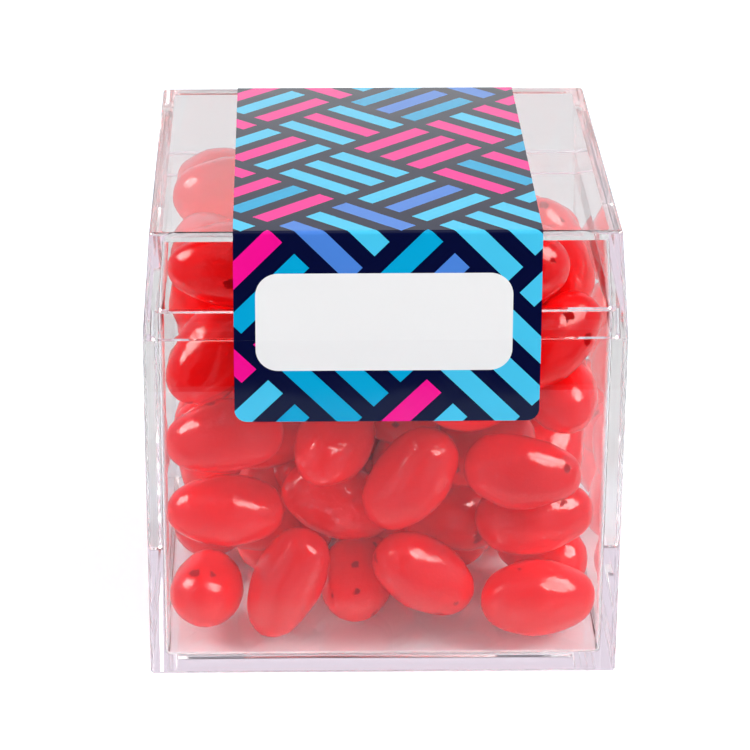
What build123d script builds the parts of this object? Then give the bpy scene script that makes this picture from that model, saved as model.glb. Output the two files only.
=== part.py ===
from build123d import *
import os
import numpy as np

# Clear moulded candy box with a lift-off lid, a wrap-over sticker and a filling of jelly beans.
# The origin is the middle of the bottom face, +Z is up, the printed front faces -Y. Millimetres.

# ---- driving dimensions: the box ----
box_width = 57.0            # outside width and depth at the parting line between base and lid
base_height = 43.9          # bottom face to the shoulder that the lid stands on
lid_height = 13.1           # shoulder to the top face of the lid
base_taper = 0.14           # how far each side of the base leans in at the bottom
lid_taper = 1.0             # how far each side of the lid leans in at the top
wall = 1.8                  # side walls of the base
floor = 2.0                 # bottom plate of the base
base_mould_draft = 0.12     # how far each inside face of the base leans in at the floor
neck_height = 3.1           # tongue of the base that stands up inside the lid
neck_thickness = 0.66       # tongue, at its rim
neck_lean = 0.15            # outside face of the tongue, from rim to shoulder
lid_wall = 1.6              # side walls of the lid above the rebate
lid_plate = 1.5             # top plate of the lid
fit_clearance = 0.13        # sideways play between the tongue and the lid's rebate
ledge_clearance = 0.35      # from the tongue's rim up to the ledge inside the lid
seam_gap = 0.05             # the lid rests on high spots of the shoulder, this far above it
outer_corner = 0.5          # rounding of the outside edges
inner_corner = 0.75         # rounding of the upright inside corners
neck_corner = 1.05          # rounding of the tongue's upright outside corners
foot_rounding = 0.9         # the bottom edge's rounding, as a share of the outside corners'
floor_rounding = 0.8        # the same for the inside floor and the inside corners
top_edge = 0.4              # rounding of the lid's top edge

# ---- driving dimensions: the sticker, one strip slit along the parting line ----
label_width = 36.0
label_offset = 0.2          # it sits this far to the right of the middle
label_tab = 10.3            # how far it reaches down the base at the front, and at the back
label_corner = 1.5
label_thickness = 0.12
label_slit = 0.06           # width of the slit where the lid parts from the base

# ---- driving dimensions: the beans ----
bean_length = 15.0
bean_diameter = 9.9
bean_end_radius = 4.2       # rounding of the two ends
length_spread = 0.06        # beans differ by about this share of their length
diameter_spread = 0.045
bean_gap = 0.08             # least space left between two beans, or a bean and the base
lid_gap = 0.45              # least space left between a bean and the lid
packing = 0.535             # share of the heap's volume that is bean
heap_left_drop = 4.0        # the heap touches the lid at the front and is this much lower
heap_right_drop = 16.0      # at the back wall, on its left and on its right
heap_crest = 0.36           # the slope starts at this share of the depth
placed_ease = 0.15          # how readily a hand-placed bean gives way, against 1 for the others
placed_spread = 0.5         # hand-placed beans differ in size by this share of the spread
bean_nodes = 50             # the beans are shared out over this many nodes

# ---- how the heap is settled; every turn moves all beans once ----
packing_seed = 2
balls_per_bean = 5          # a bean settles as a rod of this many balls
ball_margin = 0.03          # added to each ball, because a bean bulges a little between them
fullest_end = 0.95          # a bean's end radius is at most this share of half its thickness
bean_slices = 401           # slices that a bean's volume is summed over
heap_columns = 41           # columns across the box that the heap's volume is summed over
spot_trials = 60            # spots tried for each bean that isn't placed by hand
spot_margin = 0.08          # share of the space at each side where no such spot is tried
lying_down = 0.6            # rise of those beans' axes, against 1 for all directions alike
near_lengths = 1.25         # beans count as neighbours within this many bean lengths
seedling_size = 0.62        # share of its full size that a bean starts at
growing_turns = 900
grown_share = 0.8           # share of the growing turns after which the beans are full size
growing_hold = 0.25         # how strongly hand-placed beans are drawn back to their places
growing_fall = 0.001        # how far all beans sink in one turn
sinking_turns = 1200
sinking_hold = 0.15
sinking_fall = 0.004
clearing_turns = 6000
clearing_hold = 0.12
release_turns = 1500        # clearing turns over which the hold fades out
loosening_turns = 2500      # clearing turns over which the slope may rise towards the lid
overlap_left = 0.004        # the heap is settled when no overlap is deeper
turns_per_look = 10         # turns between two looks for neighbours
late_turns_per_look = 20    # the same once the beans hardly move

# Beans that lie against the front and side walls, placed by hand. Each row gives the centre as
# shares of the cavity's width, depth and height, then the axis: its rise above the horizontal in
# degrees, seen from the front, and how far it swings away from the front wall.
front_beans = [
    (0.09, 0.12, 0.095, -10, 78),
    (0.275, 0.10, 0.120, 64, 8),
    (0.43, 0.20, 0.070, 25, 62),
    (0.605, 0.10, 0.158, -33, 4),
    (0.875, 0.09, 0.062, -3, 4),
    (0.135, 0.10, 0.312, -20, 4),
    (0.38, 0.20, 0.270, -28, 10),
    (0.68, 0.29, 0.215, -20, 25),
    (0.865, 0.10, 0.240, -2, 8),
    (0.12, 0.10, 0.510, 8, 6),
    (0.23, 0.27, 0.420, -25, 30),
    (0.39, 0.14, 0.460, 10, 72),
    (0.585, 0.10, 0.415, 54, 4),
    (0.845, 0.10, 0.415, 9, 6),
    (0.93, 0.14, 0.580, 5, 75),
    (0.74, 0.11, 0.590, -6, 12),
    (0.09, 0.10, 0.700, 35, 20),
    (0.12, 0.10, 0.880, -10, 6),
    (0.83, 0.10, 0.890, -32, 12),
    (0.92, 0.26, 0.860, -40, 20),
    (0.91, 0.10, 0.735, 30, 10),
    (0.14, 0.62, 0.880, 4, 12),
]

# ---- places worked out from them ----
total_height = base_height + lid_height
half_seam = box_width / 2
half_bottom = half_seam - base_taper
half_top = half_seam - lid_taper
half_cavity = half_seam - wall
neck_top = base_height + neck_height
ledge = neck_top + ledge_clearance
ceiling = total_height - lid_plate
lid_rim = base_height + seam_gap
neck_outer_top = half_cavity + neck_thickness
neck_outer_foot = neck_outer_top + neck_lean


def lid_half(z):
    """Half the outside width of the lid at height z."""
    return half_seam - lid_taper * (z - base_height) / lid_height


def cavity_half(z):
    """Half the inside width that the beans have at height z."""
    in_base = half_cavity - base_mould_draft * (neck_top - z) / (neck_top - floor)
    in_lid = lid_half(z) - lid_wall - lid_gap + bean_gap
    return np.where(z < base_height, in_base, np.minimum(in_base, in_lid))


def frustum(half_low, z_low, half_high, z_high, corner):
    """A square block whose four sides lean, with rounded upright edges."""
    low = Plane.XY.offset(z_low) * RectangleRounded(2 * half_low, 2 * half_low, corner)
    high = Plane.XY.offset(z_high) * RectangleRounded(2 * half_high, 2 * half_high, corner)
    return loft([low, high])


def edges_at(solid, z):
    """The edges that lie level at height z."""
    return solid.edges().filter_by_position(Axis.Z, z - 0.001, z + 0.001)


# ---- base and lid ----
def make_base():
    body = frustum(half_bottom, 0, half_seam, base_height, outer_corner)
    body = fillet(edges_at(body, 0), outer_corner * foot_rounding)
    neck = frustum(neck_outer_foot, base_height, neck_outer_top, neck_top, neck_corner)
    half_floor = half_cavity - base_mould_draft
    hollow = frustum(half_floor, floor, half_cavity, neck_top, inner_corner)
    hollow = fillet(edges_at(hollow, floor), inner_corner * floor_rounding)
    return body + neck - hollow


def make_lid():
    shell = frustum(lid_half(lid_rim), lid_rim, half_top, total_height, outer_corner)
    shell = fillet(edges_at(shell, total_height), top_edge)
    half_ledge = lid_half(ledge) - lid_wall
    half_ceiling = lid_half(ceiling) - lid_wall
    hollow = frustum(half_ledge, lid_rim, half_ledge, ledge, inner_corner)
    hollow = hollow + frustum(half_ledge, ledge, half_ceiling, ceiling, inner_corner)
    rebate_top = neck_outer_top + fit_clearance
    rebate_foot = neck_outer_foot + fit_clearance
    rebate = frustum(rebate_foot, lid_rim, rebate_top, ledge, neck_corner + fit_clearance)
    return shell - hollow - rebate


# ---- sticker ----
def label_strip(outline, z_low, z_high):
    """The skin over a Y-Z outline between two heights, as wide as the sticker."""
    skin = offset(outline, amount=label_thickness, kind=Kind.INTERSECTION) - outline
    reach = box_width
    window = Rectangle(2 * reach, z_high - z_low, align=(Align.CENTER, Align.MIN))
    skin = skin & Pos(0, z_low) * window
    strip = extrude(Plane.YZ * skin, label_width / 2, both=True)
    return Pos(label_offset, 0, 0) * strip


def make_lid_label():
    foot = lid_half(lid_rim)
    outline = Polygon((-foot, lid_rim), (foot, lid_rim), (half_top, total_height),
                      (-half_top, total_height), align=None)
    top_corners = outline.vertices().group_by(Axis.Y)[-1]
    outline = fillet(top_corners, top_edge)
    over = total_height + 2 * label_thickness
    return label_strip(outline, base_height + seam_gap + label_slit / 2, over)


def make_base_tab(side):
    """The end of the sticker on the base: side is -1 at the front and +1 at the back."""
    outline = Polygon((-half_bottom, 0), (half_bottom, 0), (half_seam, base_height),
                      (-half_seam, base_height), align=None)
    foot = base_height - label_tab
    both = label_strip(outline, foot, base_height - label_slit / 2)
    half = Pos(label_offset, side * half_seam, 0) * Box(
        label_width, half_seam, 2 * total_height)
    tab = both & half
    lower = tab.edges().filter_by(Axis.Y).group_by(Axis.Z)[0]
    return fillet(lower, label_corner)


# ---- beans ----
def bean_section(length, diameter):
    """Radius of the barrel arc that runs tangent into the two end arcs of a bean."""
    end = min(bean_end_radius, fullest_end * bean_diameter / 2) * diameter / bean_diameter
    stick = length / 2 - end
    barrel = (diameter ** 2 / 4 - end ** 2 + stick ** 2) / (diameter - 2 * end)
    return end, stick, barrel


def make_bean(length, diameter):
    """A bean lying along X: a barrel arc between two end arcs, turned about its own axis."""
    end, stick, barrel = bean_section(length, diameter)
    drop = barrel - diameter / 2
    lean = np.arctan2(stick, drop)
    joint_x = float(barrel * np.sin(lean))
    joint_y = float(barrel * np.cos(lean) - drop)
    tip = length / 2
    end_lean = (np.pi / 2 - lean) / 2
    bulge_x = float(stick + end * np.cos(end_lean))
    bulge_y = float(end * np.sin(end_lean))
    outline = (
        Line((-tip, 0), (tip, 0))
        + ThreePointArc((tip, 0), (bulge_x, bulge_y), (joint_x, joint_y))
        + ThreePointArc((joint_x, joint_y), (0, diameter / 2), (-joint_x, joint_y))
        + ThreePointArc((-joint_x, joint_y), (-bulge_x, bulge_y), (-tip, 0))
    )
    return revolve(make_face(outline), axis=Axis.X)


def bean_volume(length, diameter):
    """Volume of one bean, summed over thin slices across its axis."""
    end, stick, barrel = bean_section(length, diameter)
    x = np.linspace(-length / 2, length / 2, bean_slices)
    along = np.abs(x)
    split = barrel * np.sin(np.arctan2(stick, barrel - diameter / 2))
    middle = np.sqrt(np.maximum(barrel ** 2 - along ** 2, 0)) - (barrel - diameter / 2)
    ends = np.sqrt(np.maximum(end ** 2 - (along - stick) ** 2, 0))
    radius = np.where(along < split, middle, ends)
    return float(np.pi * np.mean(radius ** 2) * length)


def heap_top(x, y):
    """Height of the heap: level with the lid at the front, sloping down to the back."""
    share = (y + half_cavity) / (2 * half_cavity)
    side = (x + half_cavity) / (2 * half_cavity)
    drop = heap_left_drop + (heap_right_drop - heap_left_drop) * np.clip(side, 0, 1)
    slope = np.clip((share - heap_crest) / (1 - heap_crest), 0, 1)
    return ceiling - lid_gap + bean_gap - drop * slope


def count_beans():
    """How many beans fill the heap."""
    grid = np.linspace(-half_cavity, half_cavity, heap_columns)
    x, y = np.meshgrid(grid, grid)
    heap = float(np.mean(heap_top(x, y)) - floor) * (2 * half_cavity) ** 2
    return int(round(packing * heap / bean_volume(bean_length, bean_diameter)))


def axis_of(rise, swing):
    """Unit vector from its rise above the horizontal and its swing away from the front wall."""
    rise = np.radians(rise)
    swing = np.radians(swing)
    return np.array([np.cos(rise) * np.cos(swing), np.sin(swing), np.sin(rise) * np.cos(swing)])


class Heap:
    """Beans as rods of balls, pushed apart until none of them overlap."""

    def __init__(self, count):
        self.random = np.random.default_rng(packing_seed)
        self.count = count
        spread = self.random.uniform(-1, 1, (count, 2))
        spread[:len(front_beans)] *= placed_spread
        self.length = bean_length * (1 + length_spread * spread[:, 0])
        self.diameter = bean_diameter * (1 + diameter_spread * spread[:, 1])
        end, stick, barrel = bean_section(self.length, self.diameter)
        self.stick = stick
        self.share = np.linspace(0, 1, balls_per_bean)
        offset_along = np.abs(2 * self.share - 1)[None, :] * stick[:, None]
        self.radii = barrel[:, None] - np.hypot(offset_along, (barrel - self.diameter / 2)[:, None])
        self.radii = self.radii + bean_gap / 2 + ball_margin
        self.ease = np.where(np.arange(count) < len(front_beans), placed_ease, 1.0)
        self.place()

    def place(self):
        """Front beans at their own places, the others spread over the space behind them."""
        size = 2 * half_cavity
        height = ceiling - floor
        centre = np.zeros((self.count, 3))
        axis = np.zeros((self.count, 3))
        for i, (sx, sy, sz, rise, swing) in enumerate(front_beans):
            centre[i] = (sx * size - half_cavity, sy * size - half_cavity, floor + sz * height)
            axis[i] = axis_of(rise, swing)
        first = len(front_beans)
        for i in range(first, self.count):
            best = -1.0
            for _ in range(spot_trials):
                trial = self.random.uniform(spot_margin, 1 - spot_margin, 3)
                spot = np.array([trial[0] * size - half_cavity, trial[1] * size - half_cavity, 0])
                reach = heap_top(spot[0], spot[1]) - floor
                spot[2] = floor + trial[2] * reach
                clear = np.min(np.linalg.norm(centre[:i] - spot, axis=1))
                if clear > best:
                    best = clear
                    centre[i] = spot
            tilt = self.random.normal(0, 1, 3) * (1, 1, lying_down)
            axis[i] = tilt / np.linalg.norm(tilt)
        self.low = centre - axis * self.stick[:, None]
        self.high = centre + axis * self.stick[:, None]
        self.target = (self.low[:first].copy(), self.high[:first].copy())

    def balls(self):
        share = self.share[None, :, None]
        return self.low[:, None, :] * (1 - share) + self.high[:, None, :] * share

    def neighbours(self):
        centre = (self.low + self.high) / 2
        apart = np.linalg.norm(centre[:, None] - centre[None], axis=2)
        near = np.triu(apart < bean_length * near_lengths, 1)
        return np.nonzero(near)

    def contacts(self, balls, pairs, grown):
        """Each pair's deepest overlap, as a push on the two balls that meet."""
        first, second = pairs
        gap = balls[first][:, :, None] - balls[second][:, None, :]
        distance = np.linalg.norm(gap, axis=3) + 1e-9
        reach = (self.radii[first][:, :, None] + self.radii[second][:, None, :]) * grown
        depth = (reach - distance).reshape(len(first), -1)
        deepest = np.argmax(depth, axis=1)
        rows = np.arange(len(first))
        depth = depth[rows, deepest]
        way = (gap / distance[..., None]).reshape(len(first), -1, 3)[rows, deepest]
        hit = depth > 0
        ball_a, ball_b = np.divmod(deepest[hit], balls_per_bean)
        return first[hit], second[hit], ball_a, ball_b, depth[hit], way[hit]

    def shove(self, moves, weight, bean, ball, push):
        """Adds a push on one ball to the two ends of its rod."""
        share = self.share[ball][:, None]
        norm = (1 - share) ** 2 + share ** 2
        np.add.at(moves[0], bean, push * (1 - share) / norm)
        np.add.at(moves[1], bean, push * share / norm)
        np.add.at(weight, bean, 1.0)

    def walls(self, balls, grown, loosened):
        """Overlaps with the six sides of the space, ball by ball."""
        radii = self.radii * grown
        half = cavity_half(balls[:, :, 2])
        top = heap_top(balls[:, :, 0], balls[:, :, 1])
        top = top + loosened * (ceiling - lid_gap + bean_gap - top)
        sides = []
        for across in (0, 1):
            for sign in (-1, 1):
                depth = sign * balls[:, :, across] + radii - half
                way = np.zeros(3)
                way[across] = -sign
                sides.append((depth, way))
        sides.append((floor - balls[:, :, 2] + radii, np.array([0.0, 0.0, 1.0])))
        sides.append((balls[:, :, 2] + radii - top, np.array([0.0, 0.0, -1.0])))
        return sides

    def step(self, pairs, grown, hold, fall, loosened=0.0):
        balls = self.balls()
        moves = [np.zeros_like(self.low), np.zeros_like(self.high)]
        weight = np.zeros(self.count)
        first, second, ball_a, ball_b, depth, way = self.contacts(balls, pairs, grown)
        push = way * depth[:, None]
        give = self.ease[first] / (self.ease[first] + self.ease[second])
        self.shove(moves, weight, first, ball_a, push * give[:, None])
        self.shove(moves, weight, second, ball_b, -push * (1 - give)[:, None])
        worst = float(depth.max()) if len(depth) else 0.0
        for over, inward in self.walls(balls, grown, loosened):
            bean, ball = np.nonzero(over > 0)
            amount = over[bean, ball]
            self.shove(moves, weight, bean, ball, inward[None, :] * amount[:, None])
            worst = max(worst, float(amount.max()) if len(amount) else 0.0)
        calm = np.maximum(weight, 1.0)[:, None] ** 0.5
        self.low += moves[0] / calm
        self.high += moves[1] / calm
        self.low[:, 2] -= fall
        self.high[:, 2] -= fall
        if hold > 0:
            held = len(front_beans)
            self.low[:held] += hold * (self.target[0] - self.low[:held])
            self.high[:held] += hold * (self.target[1] - self.high[:held])
        centre = (self.low + self.high) / 2
        axis = self.high - self.low
        axis /= np.linalg.norm(axis, axis=1)[:, None]
        self.low = centre - axis * self.stick[:, None]
        self.high = centre + axis * self.stick[:, None]
        return worst

    def settle(self):
        """Grow the beans to full size, let them sink a little, then clear the last overlaps."""
        for turn in range(growing_turns):
            if turn % turns_per_look == 0:
                pairs = self.neighbours()
            aged = min(1.0, turn / (growing_turns * grown_share))
            grown = seedling_size + (1 - seedling_size) * aged
            self.step(pairs, grown, growing_hold, growing_fall)
        for turn in range(sinking_turns):
            if turn % turns_per_look == 0:
                pairs = self.neighbours()
            self.step(pairs, 1.0, sinking_hold, sinking_fall)
        for turn in range(clearing_turns):
            if turn % late_turns_per_look == 0:
                pairs = self.neighbours()
            hold = clearing_hold * max(0.0, 1 - turn / release_turns)
            worst = self.step(pairs, 1.0, hold, 0.0, min(1.0, turn / loosening_turns))
            if worst < overlap_left and hold == 0:
                break
        return worst, turn


def bean_solids():
    heap = Heap(count_beans())
    worst, turns = heap.settle()
    print("beans", heap.count, "largest overlap left", round(worst, 4), "after", turns)
    solids = []
    for low, high, length, diameter in zip(heap.low, heap.high, heap.length, heap.diameter):
        centre = (low + high) / 2
        axis = (high - low) / np.linalg.norm(high - low)
        across = np.cross(axis, (0, 0, 1))
        place = Plane(origin=tuple(centre), x_dir=tuple(axis), z_dir=tuple(across))
        solids.append(place * make_bean(float(length), float(diameter)))
    return solids


def save(name, shape):
    shape.label = name
    export_step(shape, f"parts/{name}.step")


def save_beans(solids):
    """One node for each hand-placed bean, then the others dealt out over the nodes that are left."""
    placed = len(front_beans)
    for number, solid in enumerate(solids[:placed], start=1):
        save(f"front_bean_{number:02d}", solid)
    left = bean_nodes - placed
    for number in range(left):
        save(f"heap_beans_{number + 1:02d}", Compound(children=solids[placed + number::left]))


def main():
    os.makedirs("parts", exist_ok=True)
    save("base", make_base())
    save("lid", make_lid())
    save("lid_label", make_lid_label())
    save("front_label_tab", make_base_tab(-1))
    save("back_label_tab", make_base_tab(1))
    save_beans(bean_solids())


if __name__ == "__main__":
    main()
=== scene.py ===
import math
import random
import bpy
import numpy as np
from mathutils import Matrix, Vector


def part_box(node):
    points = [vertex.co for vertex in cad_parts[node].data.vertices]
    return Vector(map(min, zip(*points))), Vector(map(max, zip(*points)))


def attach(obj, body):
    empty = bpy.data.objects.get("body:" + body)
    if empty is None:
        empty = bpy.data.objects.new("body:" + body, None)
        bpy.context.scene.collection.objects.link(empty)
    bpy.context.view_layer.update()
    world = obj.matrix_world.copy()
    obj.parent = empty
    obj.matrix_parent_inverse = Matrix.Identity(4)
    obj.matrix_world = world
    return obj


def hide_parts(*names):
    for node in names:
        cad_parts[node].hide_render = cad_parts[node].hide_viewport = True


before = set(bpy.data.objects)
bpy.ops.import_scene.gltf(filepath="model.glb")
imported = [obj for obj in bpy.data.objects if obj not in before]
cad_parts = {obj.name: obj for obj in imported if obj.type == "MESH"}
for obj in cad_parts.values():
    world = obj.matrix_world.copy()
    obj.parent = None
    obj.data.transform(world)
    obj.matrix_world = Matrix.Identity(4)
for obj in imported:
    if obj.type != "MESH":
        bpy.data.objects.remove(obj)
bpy.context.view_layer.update()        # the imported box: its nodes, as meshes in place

bl_info = {
    "name": "Candy Box With Lift-Off Lid",
    "version": (1, 0, 0),
    "blender": (4, 5, 0),
    "location": "3D View > Sidebar > Candy Box",
    "description": "Finishes a clear candy box: plastic, printed film label and jelly beans",
    "category": "Object",
}

MM = 0.001
BASE_BODY, LID_BODY = "base_body", "lid_body"
FILM_UV = "film"         # the label's own map: across and along the film, in millimetres
BEAN_SHADE = "shade"     # each bean's own tone, from -1 to 1
LID_LOW, LID_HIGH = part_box("lid")
BASE_LOW, BASE_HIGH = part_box("base")
LABEL_LOW, LABEL_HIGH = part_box("lid_label")
FILM_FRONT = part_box("front_label_tab")[0].y      # the outer face of the film's front end


def length(name, description, millimetres):
    """A property that holds a length."""
    return bpy.props.FloatProperty(name=name, description=description, default=millimetres * MM,
                                   subtype="DISTANCE", unit="LENGTH", precision=5)


def linear(hex_colour):
    """A linear colour with alpha, from an sRGB hex value."""
    channels = [int(hex_colour[i:i + 2], 16) / 255 for i in (1, 3, 5)]
    low = [c / 12.92 if c <= 0.04045 else ((c + 0.055) / 1.055) ** 2.4 for c in channels]
    return (*low, 1.0)


def colour(name, description, hex_colour):
    """A property that holds a colour."""
    return bpy.props.FloatVectorProperty(name=name, description=description, size=4, min=0.0,
                                         max=1.0, subtype="COLOR", default=linear(hex_colour))


class CandyBoxSizes(bpy.types.PropertyGroup):
    """Sizes of the label, the beans and the stage."""
    lid_lean: length("Lid lean", "How far each side of the lid leans in at the top", 1.0)
    lid_edge: length("Lid edge", "Rounding of the lid's top edge", 0.4)
    base_lean: length("Base lean", "How far each side of the base leans in at the bottom", 0.14)
    film: length("Film", "Thickness of the label's film", 0.12)
    film_sink: length("Film sink", "How far the label's glue wets into the plastic", 0.02)
    film_corner: length("Film corner", "Rounding of the label's lower corners", 1.5)
    slit: length("Slit", "Width of the cut where the lid's label parts from the ends", 0.02)
    bar: length("Bar", "Width of a printed bar", 2.45)
    bar_gap: length("Bar gap", "Width of the ground between two bars", 1.95)
    panel_width: length("Panel width", "Width of the plain white panel", 30.1)
    panel_height: length("Panel height", "Height of the plain white panel", 12.0)
    panel_corner: length("Panel corner", "Rounding of the panel's corners", 2.7)
    panel_shift: length("Panel shift", "How far the panel sits right of the film's middle", -0.4)
    panel_middle: length("Panel middle", "Height of the panel's middle above the table", 46.1)
    bean_dent: length("Bean dent", "Depth of the hollow in a bean's inner side", 0.7)
    bean_lump: length("Bean lump", "Height of the slow waves in the candy shell", 0.32)
    bean_clearance: length("Bean clearance", "How far a shell stays inside its solid", 0.03)
    pit: length("Pit", "Usual radius of a pinhole in the candy shell", 0.62)
    # where the table's painted shade begins, before and behind the box
    pale_reach: length("Pale reach", "How far the table is pale before and behind the box", 14.0)
    table_front: length("Table front", "From the box's front to the table's front edge", 87.0)


class CandyBoxColours(bpy.types.PropertyGroup):
    """Colours of the label, the beans and the stage."""
    navy: colour("Navy", "Ground of the label", "#060C36")
    sky: colour("Sky", "Light bars of the label", "#48CAF4")
    azure: colour("Azure", "Middle blue bars of the label", "#00A8DC")
    magenta: colour("Magenta", "Pink bars of the label", "#FB0B97")
    periwinkle: colour("Periwinkle", "Violet blue bars of the label", "#4C86E0")
    panel: colour("Panel", "White panel of the label", "#F6F6F7")
    film_core: colour("Film core", "Cut edge and glued side of the film", "#ECECF0")
    candy: colour("Candy", "Candy shell", "#F80408")
    candy_deep: colour("Candy deep", "Pinholes and thick places of the shell", "#A80004")
    table: colour("Table", "Tabletop", "#EAEFF6")
    # painted shade on the table: darker tones that clear plastic shows before and behind the box,
    # and that gloss mirrors all over it
    table_front: colour("Table front", "The table's front part, seen through the box", "#A09EAC")
    mirrored_table_shade: colour("Front in gloss", "The table's front part, as gloss mirrors it", "#BCD2E6")
    table_shade_behind: colour("Table behind", "The table behind the box, seen through it", "#DCDDE0")
    backdrop: colour("Backdrop", "The backdrop as clear plastic shows it", "#E8DBE8")
    mirrored: colour("Mirrored backdrop", "The backdrop as gloss mirrors it", "#FBFDFB")
    dim_room: colour("Dim room", "The unlit room in front, as gloss mirrors it", "#141314")
    inner_room: colour("Inner room", "The unlit room as clear plastic shows it", "#424144")


def add(tree, kind, inputs=(), **settings):
    """Adds a node with its settings. Each input takes a value or another node's output."""
    made = tree.nodes.new(kind)
    for name, value in settings.items():
        setattr(made, name, value)
    for socket, value in dict(inputs).items():
        if isinstance(value, bpy.types.NodeSocket):
            tree.links.new(value, made.inputs[socket])
        else:
            made.inputs[socket].default_value = value
    return made


def new_material(name):
    """An empty node material and its tree."""
    material = bpy.data.materials.new(name)
    material.use_nodes = True
    material.node_tree.nodes.clear()
    return material, material.node_tree


# ---- materials ----
BARS = 3                     # in one square cell of the label's parquet
PARQUET_SHIFT = (0.38, 0.12, 0)      # in cells
PIT_CELL = 2.5 * MM          # a bean may have one pinhole in each cell of this size
PITLESS = 0.86               # the share of cells with no pinhole
PIT_FLOOR = 0.78             # the radius at which a pinhole is at its full depth, over its rim's


def clear_acrylic():
    """Clear acrylic, injection moulded against polished steel: water clear, sparkling at its edges,
    with faint flow waves, about 18 mm apart, that keep long reflections from being ruled lines."""
    material, tree = new_material("clear_acrylic_polished_moulding")
    place = add(tree, "ShaderNodeTexCoord").outputs["Object"]
    waves = add(tree, "ShaderNodeTexNoise", {"Vector": place, "Scale": 55.0, "Detail": 1.0})
    bump = add(tree, "ShaderNodeBump", {"Strength": 0.05, "Distance": 0.0002,
                                        "Height": waves.outputs["Fac"]})
    plastic = add(tree, "ShaderNodeBsdfPrincipled", {
        "Base Color": (0.995, 0.995, 0.997, 1), "Roughness": 0.0, "IOR": 1.49,
        "Transmission Weight": 1.0, "Normal": bump.outputs["Normal"]})
    open_way = add(tree, "ShaderNodeBsdfTransparent", {"Color": (0.995, 0.995, 0.995, 1)})
    rays = add(tree, "ShaderNodeLightPath")
    for_lamps = add(tree, "ShaderNodeMixShader", {
        0: rays.outputs["Is Shadow Ray"], 1: plastic.outputs[0], 2: open_way.outputs[0]})
    for_bounces = add(tree, "ShaderNodeMixShader", {
        0: rays.outputs["Is Diffuse Ray"], 1: for_lamps.outputs[0], 2: open_way.outputs[0]})
    add(tree, "ShaderNodeOutputMaterial", {"Surface": for_bounces.outputs[0]})
    return material


def film_core():
    """White polypropylene film with clear glue behind: matt white, with a grain about 1 mm apart,
    where it is cut or seen from inside the box."""
    material, tree = new_material("white_polypropylene_film_back")
    place = add(tree, "ShaderNodeTexCoord").outputs["Object"]
    grain = add(tree, "ShaderNodeTexNoise", {"Vector": place, "Scale": 900.0, "Detail": 2.0})
    bump = add(tree, "ShaderNodeBump", {"Strength": 0.1, "Distance": 0.00005,
                                        "Height": grain.outputs["Fac"]})
    paper = add(tree, "ShaderNodeBsdfPrincipled", {
        "Base Color": tuple(bpy.context.scene.candy_box_colours.film_core), "Roughness": 0.5,
        "Normal": bump.outputs["Normal"]})
    add(tree, "ShaderNodeOutputMaterial", {"Surface": paper.outputs[0]})
    return material


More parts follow.
